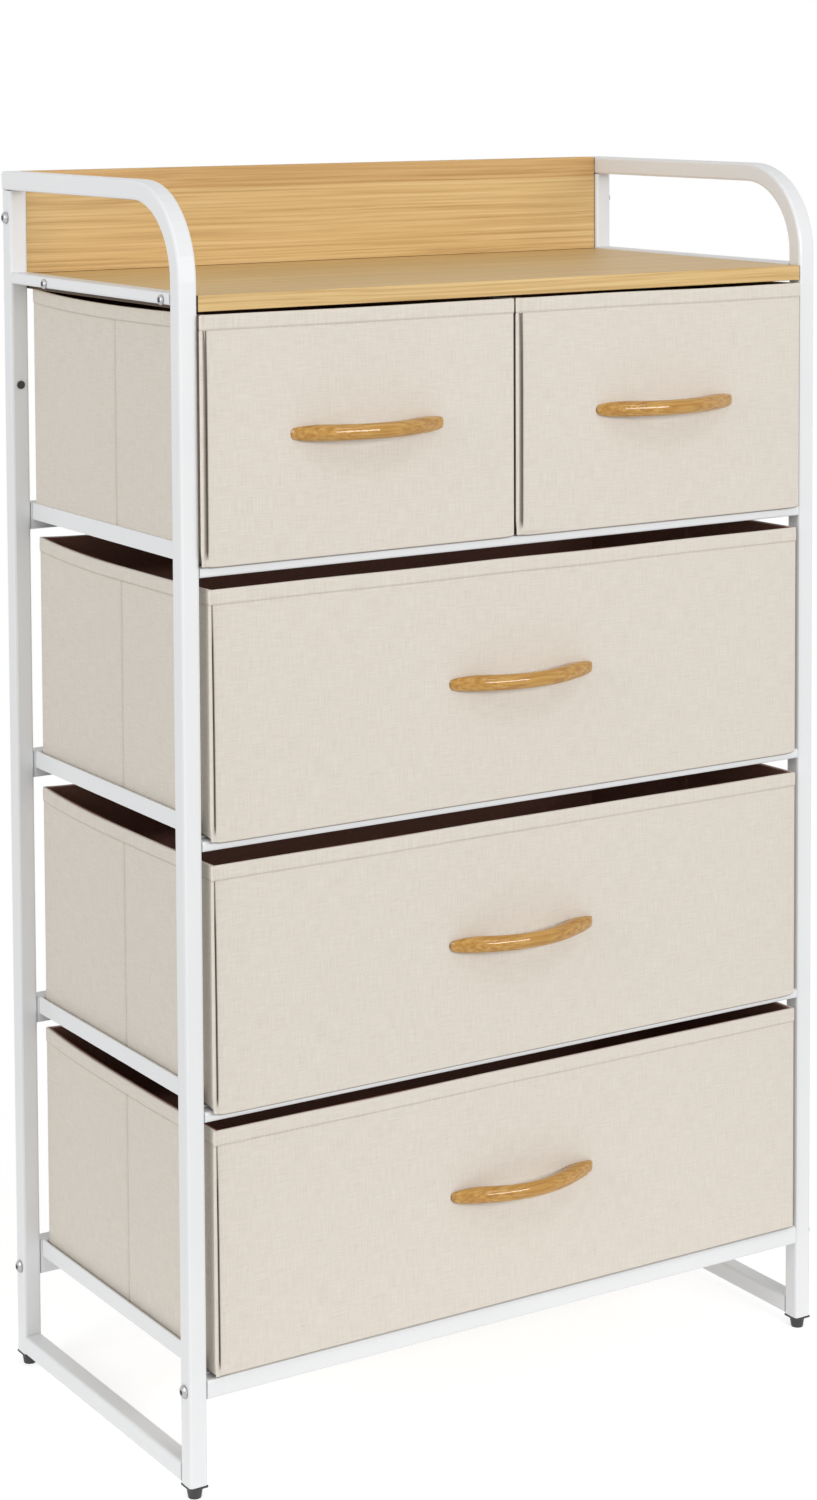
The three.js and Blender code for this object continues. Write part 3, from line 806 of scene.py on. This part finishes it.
# The handles: turned and bent hardwood bows under a clear gloss varnish, held by two
# screws from inside the bin.
varnish, varnish_shader, varnish_skin = new_material("varnished_wood", Coat_Roughness=0.05, Coat_IOR=1.5,
                                                     Coat_Weight=1.0, Specular_IOR_Level=0.0)
varnish_place = object_place(varnish_shader)
wander = varnish_shader.noise(varnish_shader.stretched(varnish_place, (9.0, 50.0, 50.0)), 1.0, 2.0)
bend = varnish_shader.node("ShaderNodeCombineXYZ", None, {"X": 0.0, "Y": wander * 2.4, "Z": wander * 2.4})
streak_place = varnish_shader.node("ShaderNodeVectorMath", {"operation": "MULTIPLY_ADD"},
                                   {0: varnish_place, 1: (6.0, 480.0, 480.0), 2: bend})
streak = varnish_shader.noise(streak_place, 1.0, 4.0, 0.55)
bow_tone = varnish_shader.node("ShaderNodeValToRGB", {"stops": [
    (0.34, (0.37, 0.170, 0.025)), (0.50, (0.47, 0.240, 0.044)), (0.66, (0.55, 0.320, 0.085)),
]}, {"Fac": streak})
feed(varnish_shader, varnish_skin,
     Base_Color=varnish_shader.mix(shade_mark(varnish_shader), bow_tone, (0.20, 0.115, 0.050)),
     Roughness=streak * 0.15 + 0.30)
grip_depth = 0.0105
foot_length = 0.0240
fabric_gap = 0.0002
tip_depth = 0.0016
tip_depth_length = 0.003
tip_height_share = 0.36
tip_end_share = 0.25
tip_round = 0.0036
tip_dark_length = 0.0016
taper_length = 0.026
waist_share = 0.06
height_share = 0.98
length_share = 0.9998
inner_limit_share = 0.9
soften_count = 7
front_power, top_power = 0.90, 0.94
across_steps, round_steps = 96, 24


def bow(name, low, high, fabric_y):
    """A bow handle: at each place across, a rounded section from the inner curve to the outer curve.

    Both curves are circle arcs seen from above. The outer one spans the whole handle; the inner one stops
    at the feet, where the section reaches back to the fabric, and is softened by a running mean. The
    height tapers along a quarter ellipse, then closes in a short round, and the section is a circle whose
    cosine and sine are raised to powers. The tips are stored as shade."""
    centre = (low + high) / 2
    half = (high[0] - low[0]) / 2
    reach = fabric_y - low[1]
    x = np.sin(np.linspace(-np.pi / 2, np.pi / 2, across_steps + 1)[1:-1]) * half * length_share
    from_tip = half - np.abs(x)

    def arc(span, depth):
        """The height over its chord of a circle arc of that span to each side and that depth."""
        radius = (span ** 2 + depth ** 2) / (2 * depth)
        lift = np.sqrt(np.maximum(radius ** 2 - x ** 2, 0.0)) - radius + depth
        return np.where(np.abs(x) < span, np.maximum(lift, 0.0), 0.0)

    def quarter(length):
        """A quarter circle's rise from 0 at the tip to 1 at that length from it."""
        return np.sqrt(1.0 - (1.0 - np.clip(from_tip / length, 0.0, 1.0)) ** 2)

    tip = tip_depth * np.minimum(1.0, from_tip / tip_depth_length) * (x / half) ** 4
    outer = np.minimum(arc(half, reach) + tip, reach)
    inner = arc(half - foot_length, reach - grip_depth)
    padded = np.pad(inner, soften_count // 2, mode="edge")
    soft = np.convolve(padded, np.ones(soften_count) / soften_count, mode="valid")
    inner = np.minimum(soft, outer * inner_limit_share)
    half_height = (high[2] - low[2]) / 2 * height_share
    half_height = half_height * (tip_height_share + (1.0 - tip_height_share) * quarter(taper_length))
    half_height *= tip_end_share + (1.0 - tip_end_share) * quarter(tip_round)
    half_height *= 1.0 - waist_share * np.cos(np.pi * x / half / 2) ** 2
    angle = np.linspace(0.0, 2 * np.pi, round_steps + 1)[:-1]
    c = np.sign(np.cos(angle)) * np.abs(np.cos(angle)) ** front_power
    s = np.sign(np.sin(angle)) * np.abs(np.sin(angle)) ** top_power
    middle_y = fabric_y - fabric_gap - (outer + inner) / 2
    half_depth = (outer - inner) / 2
    points = np.stack([np.broadcast_to(x[:, None] + centre[0], (len(x), round_steps)),
                       middle_y[:, None] + half_depth[:, None] * c,
                       centre[2] + half_height[:, None] * s], axis=-1)
    tips = np.clip(1.0 - from_tip / tip_dark_length, 0.0, 1.0)
    points, faces = ring_shell(list(points))
    return new_piece(name, points, faces, varnish, shade=np.repeat(tips, round_steps))


for name in drawer_names:
    low, high = (np.array(corner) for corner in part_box(f"{name}_handle"))
    fabric_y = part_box(f"{name}_bin")[0][1]
    handle = bow(f"{name}_bow", low, high, fabric_y)
    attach(handle, f"drawer_{name}")
    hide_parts(f"{name}_handle")
